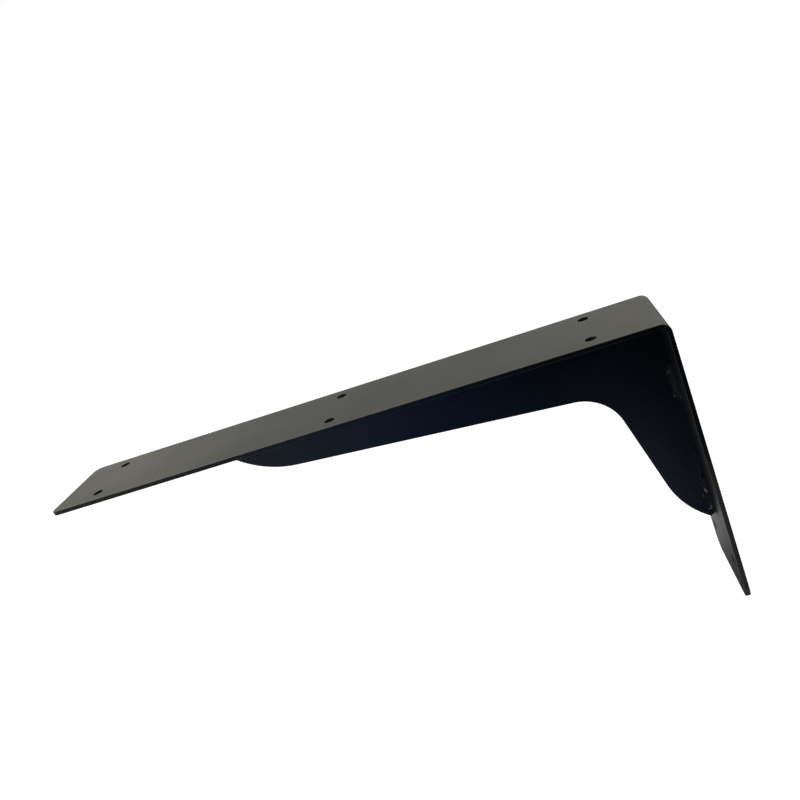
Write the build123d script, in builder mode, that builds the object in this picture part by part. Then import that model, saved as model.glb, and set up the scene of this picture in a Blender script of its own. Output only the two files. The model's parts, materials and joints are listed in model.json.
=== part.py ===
from build123d import *
from math import radians, sqrt, tan
import os

# Hidden shelf bracket: a steel strap bent into an L, stiffened by a curved web
# that stands on edge along its middle and is stitch welded to it. X runs out
# from the wall, Y along the wall and Z up. The origin is on the wall face, in
# the middle of the four wall bolts. Lengths are in millimetres.

# Strap
shelf_length = 457.2
wall_height = 206.4
strap_width = 76.2
strap_thickness = 3.175
inside_bend_radius = 3.175
tip_corner_radius = 6.35
foot_corner_radius = 12.7
strap_edge_round = 0.5

# Bolt holes: the near ones are placed from the strap's outer corner, and the
# last pair of each arm from the arm's end
hole_diameter = 7.94
hole_spread = 47.6
shelf_hole_near = 47.6
shelf_hole_middle = 231.8
tip_hole_margin = 34.9
wall_hole_upper = 39.7
foot_hole_margin = 25.4

# Web: two tapered arms, each with a root depth at the strap's outer corner,
# a taper in degrees, and a rounded toe that runs out onto the strap
web_thickness = 3.175
shelf_arm_root = 52.9
shelf_arm_taper = 4.2
shelf_arm_straight = 275.8
shelf_toe_radius = 78.8
wall_arm_root = 61.8
wall_arm_taper = 14.8
wall_arm_straight = 126.4
wall_toe_radius = 55.4
inner_fillet = 31.0
corner_snip = 8.0
toe_snip = 4.0

# Weld stitches, centred along each arm from the strap's outer corner
bead_leg = 4.5
bead_radius = 6.0
stitch_length = 30.0
wall_stitches = [52.0, 140.0]
shelf_stitches = [60.0, 180.0, 300.0]

# Planes that the pieces share, and the last pair of holes of each arm
shelf_hole_far = shelf_length - tip_hole_margin
wall_hole_lower = wall_height - foot_hole_margin
shelf_z = (wall_hole_upper + wall_hole_lower) / 2
foot_z = shelf_z - wall_height
under_z = shelf_z - strap_thickness
web_side = web_thickness / 2

os.makedirs("parts", exist_ok=True)


# Bent strap: brake formed along its outer line, then cornered and drilled
with BuildPart() as bent_strap:
    with BuildLine(Plane.XZ.offset(-strap_width / 2)):
        outer_line = [(shelf_length, shelf_z), (0, shelf_z), (0, foot_z)]
        FilletPolyline(outer_line, radius=inside_bend_radius + strap_thickness)
    make_brake_formed(strap_thickness, strap_width, side=Side.RIGHT)
    tip_corners = bent_strap.edges().filter_by(Axis.Z).group_by(Axis.X)[-1]
    fillet(tip_corners, tip_corner_radius)
    foot_corners = bent_strap.edges().filter_by(Axis.X).group_by(Axis.Z)[0]
    fillet(foot_corners, foot_corner_radius)
    # one long edge of each face leads the rounding all the way round its rim
    rim_edges = bent_strap.edges().filter_by(Axis.X).group_by(SortBy.LENGTH)[-1]
    fillet(rim_edges, strap_edge_round)
    for hole_x in (shelf_hole_near, shelf_hole_middle, shelf_hole_far):
        with Locations((hole_x, 0, shelf_z)):
            with GridLocations(0, hole_spread, 1, 2):
                Hole(hole_diameter / 2)
    with Locations(Plane.YZ):
        with GridLocations(hole_spread, wall_hole_lower - wall_hole_upper, 2, 2):
            Hole(hole_diameter / 2)
bent_strap.part.label = "bent_strap"
export_step(bent_strap.part, "parts/bent_strap.step")


# Web profile: where each arm's straight edge runs out into its toe, and where
# the two straight edges would cross if the inner corner weren't rounded
shelf_slope = tan(radians(shelf_arm_taper))
wall_slope = tan(radians(wall_arm_taper))
cross_depth = (shelf_arm_root - shelf_slope * wall_arm_root) / (1 - shelf_slope * wall_slope)
inner_cross = (wall_arm_root - wall_slope * cross_depth, shelf_z - cross_depth)
shelf_runout = (shelf_arm_straight, shelf_z - shelf_arm_root + shelf_slope * shelf_arm_straight)
wall_runout = (wall_arm_root - wall_slope * wall_arm_straight, shelf_z - wall_arm_straight)

# Web plate: cut flat, its straight edges seated on the strap's inside faces, its
# corner snipped clear of the bend and the points of its toes snipped blunt
with BuildPart() as web_plate:
    with BuildSketch(Plane.XZ):
        with BuildLine():
            under_line = Axis((0, under_z, 0), (1, 0, 0))
            inside_line = Axis((strap_thickness, 0, 0), (0, 1, 0))
            free_edge = FilletPolyline(shelf_runout, inner_cross, wall_runout, radius=inner_fillet)
            shelf_toe = JernArc(free_edge @ 0, -(free_edge % 0), shelf_toe_radius, under_line)
            wall_toe = JernArc(free_edge @ 1, free_edge % 1, wall_toe_radius, inside_line)
            snip_top = (strap_thickness + corner_snip, under_z)
            snip_side = (strap_thickness, under_z - corner_snip)
            Polyline(shelf_toe @ 1, snip_top, snip_side, wall_toe @ 1)
        make_face()
    extrude(amount=web_side, both=True)
    across = web_plate.edges().filter_by(Axis.Y)
    chamfer([across.sort_by(Axis.X)[-1], across.sort_by(Axis.Z)[0]], toe_snip)
web_plate.part.label = "web_plate"
export_step(web_plate.part, "parts/web_plate.step")


# One weld bead: a round-ended bar along Z, set back so that only the quarter
# outside both plates is left and its two legs come out equal
bead_setback = (sqrt(2 * bead_radius**2 - bead_leg**2) - bead_leg) / 2
bead_end = sqrt(bead_radius**2 - 2 * bead_setback**2)
bead_straight = stitch_length - 2 * bead_end
with BuildPart(mode=Mode.PRIVATE) as bead:
    with BuildSketch(Plane.XZ):
        SlotCenterToCenter(bead_straight, 2 * bead_radius, rotation=90)
        split(bisect_by=Plane.YZ, keep=Keep.TOP)
    revolve(axis=Axis.Z)
    split(bisect_by=Plane.YZ.offset(bead_setback), keep=Keep.TOP)
    split(bisect_by=Plane.ZX.offset(bead_setback), keep=Keep.TOP)

# Weld beads: separate stitches up the wall arm and along under the shelf arm,
# the same on both sides of the web
with BuildPart() as weld_beads:
    bead_y = web_side - bead_setback
    for stitch_z in wall_stitches:
        with Locations((strap_thickness - bead_setback, bead_y, shelf_z - stitch_z)):
            add(bead.part)
    for stitch_x in shelf_stitches:
        with Locations(Location((stitch_x, bead_y, under_z + bead_setback), (0, 90, 0))):
            add(bead.part)
    mirror(about=Plane.XZ)
weld_beads.part.label = "weld_beads"
export_step(weld_beads.part, "parts/weld_beads.step")
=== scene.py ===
import bpy
import json
import math
from mathutils import Euler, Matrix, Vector


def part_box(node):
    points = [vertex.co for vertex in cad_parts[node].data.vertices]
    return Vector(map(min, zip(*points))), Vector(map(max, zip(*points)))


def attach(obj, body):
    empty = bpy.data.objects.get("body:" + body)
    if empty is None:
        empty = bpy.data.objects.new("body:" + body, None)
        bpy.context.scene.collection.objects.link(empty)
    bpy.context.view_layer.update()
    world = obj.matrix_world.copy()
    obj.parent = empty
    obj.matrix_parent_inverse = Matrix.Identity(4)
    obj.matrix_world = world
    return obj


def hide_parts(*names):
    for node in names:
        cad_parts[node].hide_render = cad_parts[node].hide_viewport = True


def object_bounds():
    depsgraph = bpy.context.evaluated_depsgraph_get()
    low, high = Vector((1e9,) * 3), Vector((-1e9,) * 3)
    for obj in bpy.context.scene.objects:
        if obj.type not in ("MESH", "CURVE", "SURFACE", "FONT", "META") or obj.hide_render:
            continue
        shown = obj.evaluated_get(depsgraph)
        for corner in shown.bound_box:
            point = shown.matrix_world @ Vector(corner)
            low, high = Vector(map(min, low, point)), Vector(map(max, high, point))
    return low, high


# A black powder-coated shelf bracket: a bent strap, a web on edge under it, and
# the weld stitches that join them. Lengths are in metres, in the part's frame.

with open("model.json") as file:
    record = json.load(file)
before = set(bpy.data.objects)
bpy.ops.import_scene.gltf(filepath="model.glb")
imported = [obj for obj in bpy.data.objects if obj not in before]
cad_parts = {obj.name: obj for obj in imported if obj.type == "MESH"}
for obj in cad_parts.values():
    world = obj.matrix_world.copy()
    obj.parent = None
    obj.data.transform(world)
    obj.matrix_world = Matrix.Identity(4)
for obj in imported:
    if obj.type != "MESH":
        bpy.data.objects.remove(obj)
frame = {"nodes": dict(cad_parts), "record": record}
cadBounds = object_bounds()
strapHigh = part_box("bent_strap")[1]
webLow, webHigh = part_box("web_plate")
print("loaded the nodes", sorted(frame["nodes"]))


class Value:
    # a node's socket that can be added to and multiplied in plain Python
    def __init__(self, maker, socket):
        self.maker = maker
        self.socket = socket

    def reckon(self, operation, *others):
        made = self.maker.node("ShaderNodeMath", {"operation": operation},
                               dict(enumerate((self, *others))))
        return Value(self.maker, made.outputs[0])

    def __add__(self, other):
        return self.reckon("ADD", other)

    def __sub__(self, other):
        return self.reckon("SUBTRACT", other)

    def __rsub__(self, other):
        return (self * -1.0) + other

    def __mul__(self, other):
        return self.reckon("MULTIPLY", other)

    def __truediv__(self, other):
        return self.reckon("DIVIDE", other)

    def __pow__(self, other):
        return self.reckon("POWER", other)

    def __gt__(self, other):
        return self.reckon("GREATER_THAN", other)

    def __lt__(self, other):
        return self.reckon("LESS_THAN", other)

    def __abs__(self):
        return self.reckon("ABSOLUTE")

    __radd__ = __add__
    __rmul__ = __mul__

    def sine(self):
        return self.reckon("SINE")

    def cosine(self):
        return self.reckon("COSINE")

    def atLeast(self, low):
        return self.reckon("MAXIMUM", low)

    def atMost(self, high):
        return self.reckon("MINIMUM", high)

    def ramp(self, low, high):
        # 0 below low, 1 above high, and smooth between them
        made = self.maker.node("ShaderNodeMapRange", {"interpolation_type": "SMOOTHSTEP"},
                               {"Value": self, "From Min": low, "From Max": high})
        return Value(self.maker, made.outputs[0])


class Maker:
    # one tree of nodes, and the one method that adds a node to it
    def __init__(self, tree):
        self.tree = tree
        tree.nodes.clear()

    def node(self, kind, settings=None, sockets=None):
        made = self.tree.nodes.new(kind)
        for name, setting in (settings or {}).items():
            setattr(made, name, setting)
        for name, item in (sockets or {}).items():
            if isinstance(item, Value):
                self.tree.links.new(item.socket, made.inputs[name])
            elif isinstance(item, bpy.types.NodeSocket):
                self.tree.links.new(item, made.inputs[name])
            else:
                made.inputs[name].default_value = item
        return made

    def noise(self, place, scale, detail):
        made = self.node("ShaderNodeTexNoise", None, {"Vector": place, "Scale": scale, "Detail": detail})
        return Value(self, made.outputs[0])

    def stretched(self, place, scale):
        return self.node("ShaderNodeMapping", None, {"Vector": place, "Scale": scale}).outputs[0]

    def point(self, x, y, z=0.0):
        return self.node("ShaderNodeCombineXYZ", None, {0: x, 1: y, 2: z}).outputs[0]

    def axes(self, vector):
        made = self.node("ShaderNodeSeparateXYZ", None, {0: vector})
        return [Value(self, out) for out in made.outputs]

    def distance(self, first, second):
        made = self.node("ShaderNodeVectorMath", {"operation": "DISTANCE"}, {0: first, 1: second})
        return Value(self, made.outputs[1])

    def blend(self, amount, first, second):
        # a colour between two colours
        made = self.node("ShaderNodeMix", {"data_type": "RGBA"}, {0: amount, 6: first, 7: second})
        return made.outputs[2]


noiseMiddle = 0.5       # what a noise texture comes to on average


def newMaterial(name):
    material = bpy.data.materials.new(name)
    material.use_nodes = True
    return material, Maker(material.node_tree)


# the powder coat that every piece has. A range is where a noise goes from nothing to all, and the other
# heights are shares of bumpHeight.
coatPlan = {
    "deepTone": (0.0011, 0.0016, 0.0028, 1),
    "paleTone": (0.0018, 0.0024, 0.0037, 1),
    "toneRange": (0.35, 0.65),
    "gloss": 0.185,
    "roughness": 0.50,
    "cloudScale": 16.0,         # soft patches about 60 mm across
    "cloudRough": 0.10,
    "peelScale": 760.0,         # orange peel about 1.3 mm across
    "peelRough": 0.06,
    "peelHeight": 0.7,
    "gritScale": 3600.0,
    "gritHeight": 0.25,
    "nibScale": 90.0,           # cells about 11 mm across
    "nibShare": 0.10,           # of the cells hold a nib of dust
    "nibSize": 0.045,           # of a cell
    "nibHeight": 1.6,
    "rubStretch": (9.0, 150.0, 150.0),
    "rubRange": (0.56, 0.74),
    "rubRough": 0.012,
    "bumpHeight": 0.00005,
}
strapCoatPlan = coatPlan | {
    # a pale band of coat wear, which along the long edges is also a painted highlight
    "rimTone": (0.022, 0.022, 0.019, 1),
    "rimWear": 0.35,                    # to which the clouds and the peel add their shares
    "rimClouds": 0.5,
    "rimPeel": 0.3,
    "rimBand": (0.0032, 0.0010),        # in from the side, where the pale band (coat wear and painted highlight) starts and is full
    "holeBand": 0.0016,
    "holeEdge": 0.0002,                 # out from the hole, where its worn band is full
    "wallSkin": (0.0010, 0.0020),       # out from the wall face, where the inside starts
    "shelfSkin": (0.0012, 0.0006),      # and below the shelf face
    "shelter": (0.01, 0.06),            # heights between which the pale band inside the corner dies out: painted shade near the shelf arm
    "sideTone": (0.0014, 0.0015, 0.0017, 1),
    "sideRound": (0.0003, 0.0001),      # in from the side, where its own tone starts and is full
    "sideSmooth": 0.26,                 # how much less rough it is
    # painted light: a paler tone that the sides take towards the wall arm's foot
    "footTone": (0.0140, 0.0135, 0.0115, 1),
    "footFade": (0.120, 0.080),         # below the shelf face, where the painted light on the sides fades in
}
webCoatPlan = coatPlan | {
    # a darker, bluer copy of the coat's tone: painted shade and a painted cool reflection on the web
    "deepTone": (0.0005, 0.0010, 0.0024, 1),
    "paleTone": (0.0009, 0.0016, 0.0034, 1),
    "gloss": 0.22,
    "roughness": 0.24,
    "faceRound": (0.0004, 0.0001),      # in from the faces, where the cut edge's lines fade and end
    "lineStretch": (1500.0, 60.0, 1500.0),
    "lineHeight": 1.1,
}
beadCoatPlan = coatPlan | {
    "gloss": 0.07,
    "roughness": 0.34,
    "fleckTone": (0.090, 0.091, 0.100, 1),
    "fleckScale": 330.0,                # painted glints: pale specks where a noise peaks, standing in for highlights on the ripples
    "fleckRange": (0.66, 0.74),
    "fleckSmooth": 0.06,
}


def boltHoles(record):
    # each pair of holes: its arm, its place along the arm and away from its middle, and its radius
    for mount in record["mounts"]:
        if mount["kind"] != "bolt_pattern":
            continue
        size = mount["dims"]
        onWall = mount["axis"][0] != 0
        middle = mount["pos_m"][2 if onWall else 0]
        steps = [size.get("spacing_x_mm", 0.0) / 1000, size["spacing_y_mm"] / 1000]
        side, along = steps if onWall else reversed(steps)
        for end in sorted({-along / 2, along / 2}):
            yield onWall, middle + end, side / 2, size["hole_r_mm"] / 1000


def holeRims(maker, place, plan):
    # 1 on a face beside a bolt hole, and 0 inside the hole and past the worn band
    x, y, z = maker.axes(place)
    onShelf = maker.point(x, abs(y))
    onWall = maker.point(z, abs(y))
    rims = None
    for wall, along, side, radius in boltHoles(frame["record"]):
        gap = maker.distance(onWall if wall else onShelf, (along, side, 0.0))
        edge = radius + plan["holeEdge"]
        rim = gap.ramp(radius, edge) * (1.0 - gap.ramp(edge, radius + plan["holeBand"]))
        rims = rims.atLeast(rim) if rims else rim
    return rims


def wornRimsAndHighlight(maker, place, coat, plan):
    # the coat pulls thin and paler beside the long edges and the holes, and along the long edges this
    # pale band is also a painted highlight; the sides lie smooth
    x, y, z = maker.axes(place)
    fromSide = [strapHigh.y - width for width in plan["rimBand"] + plan["sideRound"]]
    fromTop = [strapHigh.z - depth for depth in plan["shelfSkin"]]
    thin = abs(y).ramp(*fromSide[:2]).atLeast(holeRims(maker, place, plan))
    side = abs(y).ramp(*fromSide[2:])
    inside = x.ramp(*plan["wallSkin"]) * (1.0 - z.ramp(*fromTop))
    # painted shade: the pale band fades out on the inner faces of the corner, near the shelf arm
    thin = thin * (1.0 - inside * z.ramp(*plan["shelter"]))
    worn = plan["rimWear"] + coat["clouds"] * plan["rimClouds"] + coat["peel"] * plan["rimPeel"]
    # the pale band: coat wear, and along the long edges a painted highlight
    tone = maker.blend(thin * worn, coat["tone"], plan["rimTone"])
    # painted light: the sides paler towards the wall arm's foot
    footLight = 1.0 - z.ramp(*[strapHigh.z - depth for depth in plan["footFade"]])
    coat["tone"] = maker.blend(side, tone, maker.blend(footLight, plan["sideTone"], plan["footTone"]))
    coat["roughness"] = coat["roughness"] - side * plan["sideSmooth"]


def cutLines(maker, place, coat, plan):
    # the cut edge keeps fine lines across its thickness
    across = abs(maker.axes(place)[1])
    faces = across.ramp(*[webHigh.y - depth for depth in plan["faceRound"]])
    lines = maker.noise(maker.stretched(place, plan["lineStretch"]), 1.0, detail=2.0)
    coat["height"] = coat["height"] + lines * (1.0 - faces) * plan["lineHeight"]


# painted glints: pale, smoother specks on the beads where a noise peaks
def paintedGlints(maker, place, coat, plan):
    glints = maker.noise(place, plan["fleckScale"], detail=1.0).ramp(*plan["fleckRange"])
    coat["tone"] = maker.blend(glints, coat["tone"], plan["fleckTone"])
    coat["roughness"] = coat["roughness"] - glints * plan["fleckSmooth"]


def coatedMetal(name, plan, finish):
    material, maker = newMaterial(name)
    place = maker.node("ShaderNodeTexCoord").outputs["Object"]

    clouds = maker.noise(place, plan["cloudScale"], detail=3.0)
    peel = maker.noise(place, plan["peelScale"], detail=1.5)
    grit = maker.noise(place, plan["gritScale"], detail=1.0)

    # nibs: a few specks of dust caught under the coat
    cells = maker.node("ShaderNodeTexVoronoi", None, {"Vector": place, "Scale": plan["nibScale"]})
    chance = maker.axes(cells.outputs["Color"])[0]
    spot = 1.0 - Value(maker, cells.outputs["Distance"]).ramp(0.0, plan["nibSize"])
    nibs = (chance < plan["nibShare"]) * spot

    # rubs: faint handling marks that run with the strap
    rubs = maker.noise(maker.stretched(place, plan["rubStretch"]), 1.0, detail=4.0)
    rubs = rubs.ramp(*plan["rubRange"])

    coat = {
        "clouds": clouds,
        "peel": peel,
        "height": peel * plan["peelHeight"] + grit * plan["gritHeight"] + nibs * plan["nibHeight"],
        "tone": maker.blend(clouds.ramp(*plan["toneRange"]), plan["deepTone"], plan["paleTone"]),
        "roughness": (plan["roughness"] + (clouds - noiseMiddle) * plan["cloudRough"]
                      + (peel - noiseMiddle) * plan["peelRough"] + rubs * plan["rubRough"]),
    }
    finish(maker, place, coat, plan)

    bump = maker.node("ShaderNodeBump", None,
                      {"Height": coat["height"], "Distance": plan["bumpHeight"], "Strength": 1.0})
    skin = maker.node("ShaderNodeBsdfPrincipled", None,
                      {"Base Color": coat["tone"], "Roughness": coat["roughness"], "IOR": 1.5,
                       "Specular IOR Level": plan["gloss"], "Normal": bump.outputs[0]})
    maker.node("ShaderNodeOutputMaterial", None, {"Surface": skin.outputs[0]})
    return material


strapCoat = coatedMetal("strapPowderCoat", strapCoatPlan, wornRimsAndHighlight)
webCoat = coatedMetal("webPowderCoat", webCoatPlan, cutLines)
weldCoat = coatedMetal("weldPowderCoat", beadCoatPlan, paintedGlints)
for nodeName, material in (("bent_strap", strapCoat), ("web_plate", webCoat)):
    node = frame["nodes"][nodeName]
    node.data.materials.clear()
    node.data.materials.append(material)
print("powder coat made")


weldPlan = {
    "length": 0.030,
    "leg": 0.0045,
    "hollow": 0.14,                         # how far the middle of the bead's face lies back, of the leg
    "rippleStep": 0.0021,
    "rippleHeight": 0.10,                   # of the leg
    "rippleBow": 0.45,                      # of a step
    "rippleMiddle": 0.6,                    # the part of a ripple that leaves the leg as it is
    "rippleRound": 0.7,                     # below 1, crests are broad and valleys narrow
    "endBluntness": 5.0,
    "drift": 1.5,                           # in ripples, how far the spacing wanders
    "driftRate": 260.0,                     # per metre
    "wander": 0.22,                         # of the leg, how far the lumps swell it
    "lumpRate": 420.0,                      # per metre
    "lumpTurn": 1.6,                        # per radian round the section
    "lumpSeed": 3.7,
    "sink": 0.00005,                        # how far the root corner lies in the plates
    "mergeGap": 0.000002,
    "rows": 15,                             # points round the section
    "slices": 121,                          # points along the stitch
    "sharpAngle": 50,                       # degrees
    "firstSeed": 4.0,
    "seedStep": 2.3,
    "wallCentres": (0.0520, 0.1400),        # down from the shelf face
    "shelfCentres": (0.060, 0.180, 0.300),  # out from the wall face
}


def weldTree(plan):
    tree = bpy.data.node_groups.new("weldStitch", "GeometryNodeTree")
    inputs = (("Geometry", "Geometry"), ("Place", "Vector"), ("Turn", "Rotation"), ("Length", "Float"),
              ("Leg", "Float"), ("Ripple Step", "Float"), ("Ripple Height", "Float"),
              ("Wander", "Float"), ("Seed", "Float"), ("Coat", "Material"))
    for name, kind in inputs:
        tree.interface.new_socket(name, in_out="INPUT", socket_type="NodeSocket" + kind)
    tree.interface.new_socket("Geometry", in_out="OUTPUT", socket_type="NodeSocketGeometry")
    maker = Maker(tree)
    given = maker.node("NodeGroupInput").outputs
    length, leg = Value(maker, given["Length"]), Value(maker, given["Leg"])
    step, swell = Value(maker, given["Ripple Step"]), Value(maker, given["Ripple Height"])
    wander, seed = Value(maker, given["Wander"]), Value(maker, given["Seed"])

    # a flat sheet of points: x along the stitch, y round its section
    sheet = maker.node("GeometryNodeMeshGrid", None, {"Size X": 1.0, "Size Y": 1.0,
                                                      "Vertices X": plan["slices"],
                                                      "Vertices Y": plan["rows"]})
    along, across = maker.axes(maker.node("GeometryNodeInputPosition").outputs[0])[:2]
    around = across + 0.5
    margin = 1.0 / (plan["rows"] - 1)
    skin = (around > margin * 0.5) * (around < 1.0 - margin * 0.5)      # the rest is the root corner
    angle = ((around - margin) / (1.0 - 2.0 * margin)).atLeast(0.0).atMost(1.0) * (math.pi / 2)
    belly = (angle * 2.0).sine()

    # crescents, bowed in the direction of travel and never quite even
    drift = maker.noise(maker.point(along * length * plan["driftRate"], seed), 1.0, detail=1.0)
    phase = (along * length + belly * step * plan["rippleBow"]) / step + drift * plan["drift"]
    crescent = abs((phase * math.pi).sine()) ** plan["rippleRound"]
    blotch = maker.point(along * length * plan["lumpRate"], angle * plan["lumpTurn"],
                         seed * plan["lumpSeed"])
    lump = maker.noise(blotch, 1.0, detail=2.0)

    ends = (1.0 - abs(along * 2.0) ** plan["endBluntness"]).atLeast(0.0) ** 0.5
    reach = leg * ends * (1.0 - belly * plan["hollow"])
    reach = reach * (1.0 + (crescent - plan["rippleMiddle"]) * swell)
    reach = reach * (1.0 + (lump - noiseMiddle) * wander) * skin
    moved = maker.point(reach * angle.cosine() - plan["sink"], reach * angle.sine() - plan["sink"],
                        along * length)
    shaped = maker.node("GeometryNodeSetPosition", None,
                        {"Geometry": sheet.outputs[0], "Position": moved})
    closed = maker.node("GeometryNodeMergeByDistance", None,
                        {"Geometry": shaped.outputs[0], "Distance": plan["mergeGap"]})
    outward = maker.node("GeometryNodeFlipFaces", None, {"Mesh": closed.outputs[0]})
    placed = maker.node("GeometryNodeTransform", None,
                        {"Geometry": outward.outputs[0], "Translation": given["Place"],
                         "Rotation": given["Turn"]})
    joined = maker.node("GeometryNodeJoinGeometry", None, {0: given["Geometry"]})
    tree.links.new(placed.outputs[0], joined.inputs[0])
    solid = maker.node("GeometryNodeRealizeInstances", None, {"Geometry": joined.outputs[0]})
    coated = maker.node("GeometryNodeSetMaterial", None,
                        {"Geometry": solid.outputs[0], "Material": given["Coat"]})
    maker.node("NodeGroupOutput", None, {"Geometry": coated.outputs[0]})
    return tree


def stitchPlaces(plan):
    # (place, turn) of each stitch: its root corner's middle, and how its local +Z lies
    quarter = math.pi / 2
    for down in plan["wallCentres"]:
        yield (webLow.x, webHigh.y, strapHigh.z - down), (0, 0, 0)
        yield (webLow.x, -webHigh.y, strapHigh.z - down), (0, 0, -quarter)
    for out in plan["shelfCentres"]:
        yield (out, webHigh.y, webHigh.z), (0, quarter, 0)
        yield (out, -webHigh.y, webHigh.z), (-quarter, 0, -quarter)


def weldBeads(plan, coat):
    holder = bpy.data.objects.new("weldHolder", bpy.data.meshes.new("weldHolder"))
    bpy.context.collection.objects.link(holder)
    tree = weldTree(plan)
    names = {item.name: item.identifier for item in tree.interface.items_tree if item.in_out == "INPUT"}
    for number, (place, turn) in enumerate(stitchPlaces(plan)):
        stitch = holder.modifiers.new("stitch", "NODES")
        stitch.node_group = tree
        settings = {"Place": place, "Turn": turn, "Length": plan["length"], "Leg": plan["leg"],
                    "Ripple Step": plan["rippleStep"], "Ripple Height": plan["rippleHeight"],
                    "Wander": plan["wander"], "Seed": plan["firstSeed"] + number * plan["seedStep"],
                    "Coat": coat}
        for name, setting in settings.items():
            stitch[names[name]] = setting
    ready = holder.evaluated_get(bpy.context.evaluated_depsgraph_get())
    mesh = bpy.data.meshes.new_from_object(ready)
    bpy.data.objects.remove(holder)
    mesh.name = "weldStitches"
    mesh.polygons.foreach_set("use_smooth", [True] * len(mesh.polygons))
    mesh.set_sharp_from_angle(angle=math.radians(plan["sharpAngle"]))
    beads = bpy.data.objects.new("weldStitches", mesh)
    bpy.context.collection.objects.link(beads)
    return beads


weldStitches = weldBeads(weldPlan, weldCoat)
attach(weldStitches, "root")
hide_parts("weld_beads")
print("weld stitches made", len(weldStitches.data.polygons))


studioPlan = {
    "floorDrop": 0.20,          # below the foot of the wall arm
    "floorHalf": 8.0,
    "floorTone": (0.80, 0.80, 0.80, 1),
    "floorLift": 0.22,
    "wallTone": (1.0, 1.0, 1.0, 1),
}
floorHeight = cadBounds[0][2] - studioPlan["floorDrop"]

warmTone = (1.0, 0.95, 0.72)
lampPlans = {
    "overheadSoftbox": {"place": (0.2, -0.1, 1.4), "aim": (0.2, 0.0, 0.0), "size": (1.6, 1.2),
                        "power": 4.0, "tone": (1.0, 1.0, 1.0)},
    "backSoftbox": {"place": (0.55, -1.5, 0.62), "aim": (0.2, 0.0, 0.1), "size": (2.4, 0.7),
                    "power": 2.6, "tone": (1.0, 0.93, 0.54)},
    "bendSoftbox": {"place": (-0.25, -1.5, 0.62), "aim": (0.0, 0.0, 0.1), "size": (0.7, 0.7),
                    "power": 0.9, "tone": warmTone},
    "tipSoftbox": {"place": (1.6, -1.5, 0.60), "aim": (0.4, 0.0, 0.1), "size": (0.8, 0.8),
                   "power": 1.6, "tone": warmTone},
}

# cards that only show in the coat's gloss, hung as a product studio hangs them, so that their paint is
# painted reflection. The front one sweeps up and goes from black through a cool tone to a clear one, in
# a painted pool of light on the floor and towards its far end, which turns warm. The back one is a dark
# sheet that paints shade into the wall arm's foot. Ends and fades run along the shelf arm, and a
# profile's points are (out from the web, up from the floor).
cardPlans = {
    "frontCard": {
        "ends": (-1.2, 0.90),
        "profile": ((0.02, 0.002), (0.62, 0.002), (0.70, 0.10), (0.72, 0.60)),
        "tones": ((0.001, 0.002, 0.005, 1), (0.11, 0.27, 0.68, 1), (0.72, 0.88, 1.0, 1)),
        "coolRange": (0.0, 0.6),
        "clearRange": (0.5, 1.0),
        "endFade": (0.0, 0.54),
        "endLevel": 0.76,
        "poolNear": (-0.05, 0.02),
        "poolFar": (0.20, 0.40),
        "poolBack": (0.61, 0.69),
        "warmEnd": (0.64, 0.82),
        "warmTone": (1.0, 0.88, 0.74, 1),
    },
    "backCard": {
        "ends": (-0.5, 0.5),
        "profile": ((-0.34, 0.002), (0.018, 0.002)),
        # a dark sheet seen only in gloss: painted shade in the wall arm's foot
        "tone": (0.04, 0.04, 0.04, 1),
    },
}


def seenRay(maker):
    # 1 for a ray from the camera, from a glossy surface or through glass
    path = maker.node("ShaderNodeLightPath").outputs
    seen = Value(maker, path["Is Camera Ray"]) + Value(maker, path["Is Glossy Ray"])
    return (seen + Value(maker, path["Is Transmission Ray"])).atMost(1.0)


def stageMesh(name, corners, faces):
    mesh = bpy.data.meshes.new(name)
    mesh.from_pydata(corners, [], faces)
    stand = bpy.data.objects.new(name, mesh)
    bpy.context.collection.objects.link(stand)
    return stand


def stageFloor(plan):
    half = plan["floorHalf"]
    outline = ((-half, -half), (half, -half), (half, half), (-half, half))
    floor = stageMesh("studioFloor", [(x, y, floorHeight) for x, y in outline], [(0, 1, 2, 3)])
    material, maker = newMaterial("paleFloor")
    floor.data.materials.append(material)
    paper = maker.node("ShaderNodeBsdfDiffuse", None, {"Color": plan["floorTone"]})
    lift = maker.node("ShaderNodeEmission", None, {"Strength": seenRay(maker) * plan["floorLift"]})
    both = maker.node("ShaderNodeAddShader", None, {0: paper.outputs[0], 1: lift.outputs[0]})
    under = maker.node("ShaderNodeNewGeometry").outputs["Backfacing"]     # open when seen from below
    clear = maker.node("ShaderNodeBsdfTransparent")
    sheet = maker.node("ShaderNodeMixShader", None, {0: under, 1: both.outputs[0], 2: clear.outputs[0]})
    maker.node("ShaderNodeOutputMaterial", None, {"Surface": sheet.outputs[0]})


# painted reflection: the front card's tones, with its painted pool of light and warm far end
def sweptReflectionPaint(maker, plan):
    along, away = maker.axes(maker.node("ShaderNodeTexCoord").outputs["Object"])[:2]
    pool = along.ramp(*plan["poolNear"]) * (1.0 - along.ramp(*plan["poolFar"]))
    pool = pool * (1.0 - away.ramp(*plan["poolBack"]))
    pale = (along.ramp(*plan["endFade"]) * plan["endLevel"]).atLeast(pool)
    dark, cool, clear = plan["tones"]
    paint = maker.blend(pale.ramp(*plan["coolRange"]), dark, cool)
    paint = maker.blend(pale.ramp(*plan["clearRange"]), paint, clear)
    return maker.blend(along.ramp(*plan["warmEnd"]), paint, plan["warmTone"])


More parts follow.
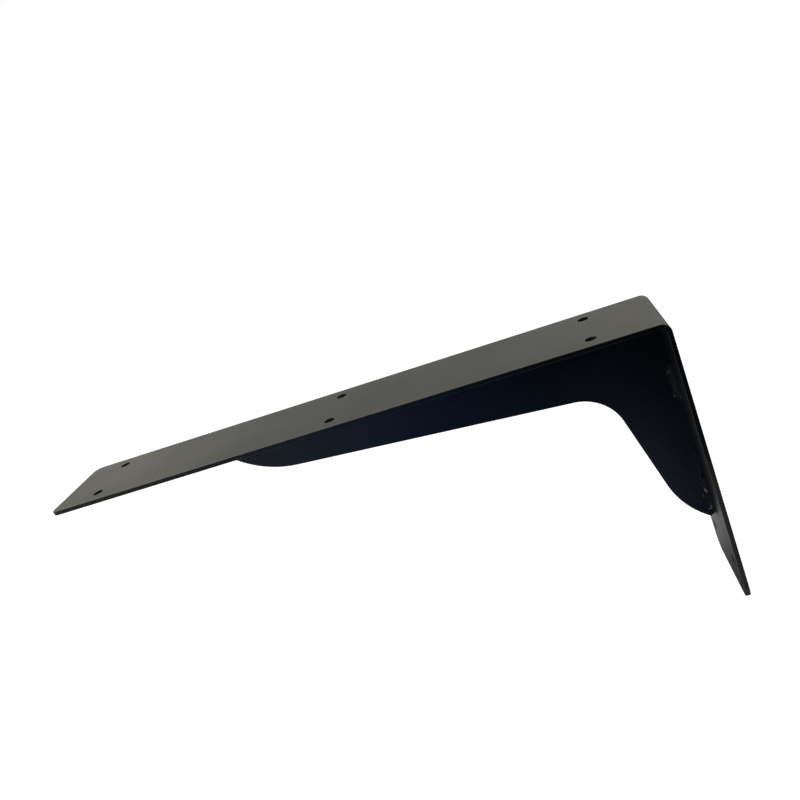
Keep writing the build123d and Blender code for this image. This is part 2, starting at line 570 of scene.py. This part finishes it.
def glossCard(name, plan):
    points = [(x, y, floorHeight + rise) for y, rise in plan["profile"] for x in plan["ends"]]
    strips = [(row, row + 1, row + 3, row + 2) for row in range(0, len(points) - 2, 2)]
    card = stageMesh(name, points, strips)
    material, maker = newMaterial(name)
    card.data.materials.append(material)
    paint = sweptReflectionPaint(maker, plan) if "tones" in plan else plan["tone"]
    board = maker.node("ShaderNodeBsdfDiffuse", None, {"Color": paint})
    maker.node("ShaderNodeOutputMaterial", None, {"Surface": board.outputs[0]})
    card.visible_camera = False
    card.visible_diffuse = False
    card.visible_shadow = False
    card.visible_transmission = False


def studioWalls(plan):
    world = bpy.data.worlds.new("studioWalls")
    bpy.context.scene.world = world
    world.use_nodes = True
    maker = Maker(world.node_tree)
    back = maker.node("ShaderNodeBackground", None, {"Color": plan["wallTone"], "Strength": 1.0})
    maker.node("ShaderNodeOutputWorld", None, {"Surface": back.outputs[0]})


def softbox(name, plan):
    light = bpy.data.lights.new(name, "AREA")
    light.shape = "RECTANGLE"
    light.size, light.size_y = plan["size"]
    light.energy = plan["power"]
    light.color = plan["tone"]
    lamp = bpy.data.objects.new(name, light)
    lamp.location = plan["place"]
    aim = Vector(plan["aim"]) - Vector(plan["place"])
    lamp.rotation_euler = aim.to_track_quat("-Z", "Y").to_euler()
    bpy.context.collection.objects.link(lamp)


stageFloor(studioPlan)
studioWalls(studioPlan)
for cardName, cardPlan in cardPlans.items():
    glossCard(cardName, cardPlan)
for lampName, lampPlan in lampPlans.items():
    softbox(lampName, lampPlan)
print("studio made")


cameraPlan = {
    "place": (0.0581, 0.5331, 0.2752),
    "turn": (75.84, 20.93, -171.38),        # degrees
    "sensor": 36.0,                         # millimetres, as is the lens
    "lens": 36.2,
    "shift": (0.0338, -0.0694),
    "nearest": 0.01,
}


def standCamera(plan):
    lens = bpy.data.cameras.new("camera")
    lens.sensor_width = plan["sensor"]
    lens.lens = plan["lens"]
    lens.shift_x, lens.shift_y = plan["shift"]
    lens.clip_start = plan["nearest"]
    camera = bpy.data.objects.new("camera", lens)
    camera.location = plan["place"]
    camera.rotation_euler = Euler([math.radians(angle) for angle in plan["turn"]])
    bpy.context.collection.objects.link(camera)
    bpy.context.scene.camera = camera


standCamera(cameraPlan)
bpy.context.scene.view_settings.view_transform = "Standard"
print("camera stands")
